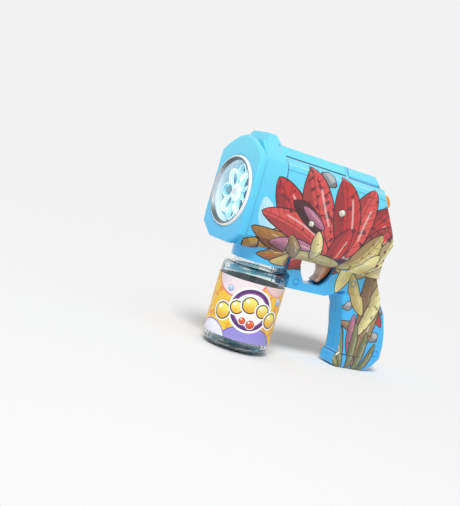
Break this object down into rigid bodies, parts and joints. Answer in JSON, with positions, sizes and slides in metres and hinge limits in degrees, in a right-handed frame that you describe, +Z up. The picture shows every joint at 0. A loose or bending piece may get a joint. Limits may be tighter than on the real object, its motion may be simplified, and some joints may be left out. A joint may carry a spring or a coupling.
{
  "type": "battery bubble gun",
  "caption": "Toy bubble gun: a trigger runs a geared hose pump and a fan that feed and blow a turning petal wheel behind a round mouth, fed by a screw-on bottle.",
  "frame": {"origin": "middle of the bottle's base, on the surface that the gun stands on", "axes": "+Z up, -X out of the muzzle along the barrel, -Y the gun's left side"},
  "size_m": [0.1823, 0.0584, 0.1635],
  "materials": {
    "blue": "glossy sky-blue moulded plastic; the left side carries a printed picture",
    "white": "glossy white moulded plastic",
    "grey": "satin grey moulded plastic",
    "orange": "glossy orange moulded plastic",
    "amber": "glossy brown-orange moulded plastic",
    "steel": "plain steel",
    "board": "green circuit board",
    "rubber": "dull black rubber",
    "clear": "clear moulded plastic",
    "label": "printed film label",
    "cell": "printed metal jacket",
    "motor": "plain steel can"
  },
  "bodies": {
    "gun": {"left_shell": "blue", "right_shell": "blue", "front_bezel": "blue", "top_cover": "blue", "nozzle_ring": "white", "led_board": "white", "led_1": "clear", "led_2": "clear", "led_3": "clear", "led_4": "clear", "air_chamber": "white", "air_duct": "white", "fan_housing": "white", "fan_motor": "motor", "gear_front_plate": "grey", "gear_rear_plate": "grey", "pump_motor": "motor", "pump_housing": "white", "feed_hose": "clear", "drip_nozzle": "white", "drip_tray": "white", "bottle_socket": "blue", "dip_tube": "clear", "tube_filter": "white", "trigger_spring": "steel", "trigger_switch": "rubber", "button_switch": "rubber", "button_spring": "steel", "control_board": "board", "battery_box": "blue", "battery_1": "cell", "battery_2": "cell", "contact_link": "steel", "contact_terminal_front": "steel", "contact_terminal_rear": "steel", "shell_screw_web": "steel", "shell_screw_throat": "steel", "shell_screw_grip": "steel", "shell_screw_rear": "steel", "shell_screw_front": "steel"},
    "bubble wheel": {"bubble_wheel": "clear", "wheel_shaft": "steel", "wheel_gear": "white"},
    "pump drive": {"pump_gear": "white", "pump_rotor": "grey", "pump_roller_1": "steel", "pump_roller_2": "steel", "pump_roller_3": "steel"},
    "reduction": {"reduction_gear": "white"},
    "pinion": {"motor_pinion": "steel"},
    "fan": {"fan_impeller": "grey"},
    "trigger": {"trigger": "amber"},
    "rear button": {"rear_button": "orange"},
    "bottle lift": {"bottle_seal": "rubber"},
    "bottle": {"bottle": "clear", "bottle_label": "label"},
    "battery door": {"battery_door": "blue"},
    "door screw": {"door_screw": "steel"}
  },
  "joints": [
    {"name": "wheel_spin", "type": "hinge", "parent": "gun", "child": "bubble wheel", "pos_m": [0, 0, 0.1155], "axis": [1, 0, 0], "continuous": true},
    {"name": "pump_spin", "type": "hinge", "parent": "gun", "child": "pump drive", "pos_m": [0, 0.00824, 0.0951], "axis": [1, 0, 0], "continuous": true},
    {"name": "reduction_spin", "type": "hinge", "parent": "gun", "child": "reduction", "pos_m": [0, -0.00602, 0.09974], "axis": [1, 0, 0], "continuous": true},
    {"name": "pinion_spin", "type": "hinge", "parent": "gun", "child": "pinion", "pos_m": [0, -0.01304, 0.11412], "axis": [1, 0, 0], "continuous": true},
    {"name": "fan_spin", "type": "hinge", "parent": "gun", "child": "fan", "pos_m": [0.062, 0, 0.1275], "axis": [0, 1, 0], "continuous": true},
    {"name": "trigger_pull", "type": "hinge", "parent": "gun", "child": "trigger", "pos_m": [0.066, 0, 0.092], "axis": [0, -1, 0], "range_deg": [0, 9], "stiffness_Nm_per_rad": 0.08, "springref_deg": -20.05, "deforming": ["trigger_spring"]},
    {"name": "rear_button_press", "type": "slide", "parent": "gun", "child": "rear button", "axis": [-0.822, 0, -0.5694], "range_m": [0, 0.002], "stiffness_N_per_m": 250, "springref_m": -0.004, "deforming": ["button_spring"]},
    {"name": "bottle_lower", "type": "slide", "parent": "gun", "child": "bottle lift", "axis": [0, 0, -1], "range_m": [0, 0.00701]},
    {"name": "bottle_unscrew", "type": "hinge", "parent": "bottle lift", "child": "bottle", "pos_m": [0, 0, 0], "axis": [0, 0, -1], "range_deg": [0, 630]},
    {"name": "door_open", "type": "hinge", "parent": "gun", "child": "battery door", "pos_m": [0.11, 0.011, 0.00651], "axis": [-1, 0, 0], "range_deg": [0, 90]},
    {"name": "door_screw_turn", "type": "hinge", "parent": "battery door", "child": "door screw", "pos_m": [0.1217, 0.009, 0.04173], "axis": [0, 1, 0], "continuous": true}
  ],
  "couplings": [
    {"joint": "pump_spin", "follows": "wheel_spin", "ratio": -1},
    {"joint": "reduction_spin", "follows": "wheel_spin", "ratio": 2.75},
    {"joint": "pinion_spin", "follows": "wheel_spin", "ratio": -8.25},
    {"joint": "bottle_lower", "follows": "bottle_unscrew", "m_per_rad": 0.00063662}
  ]
}
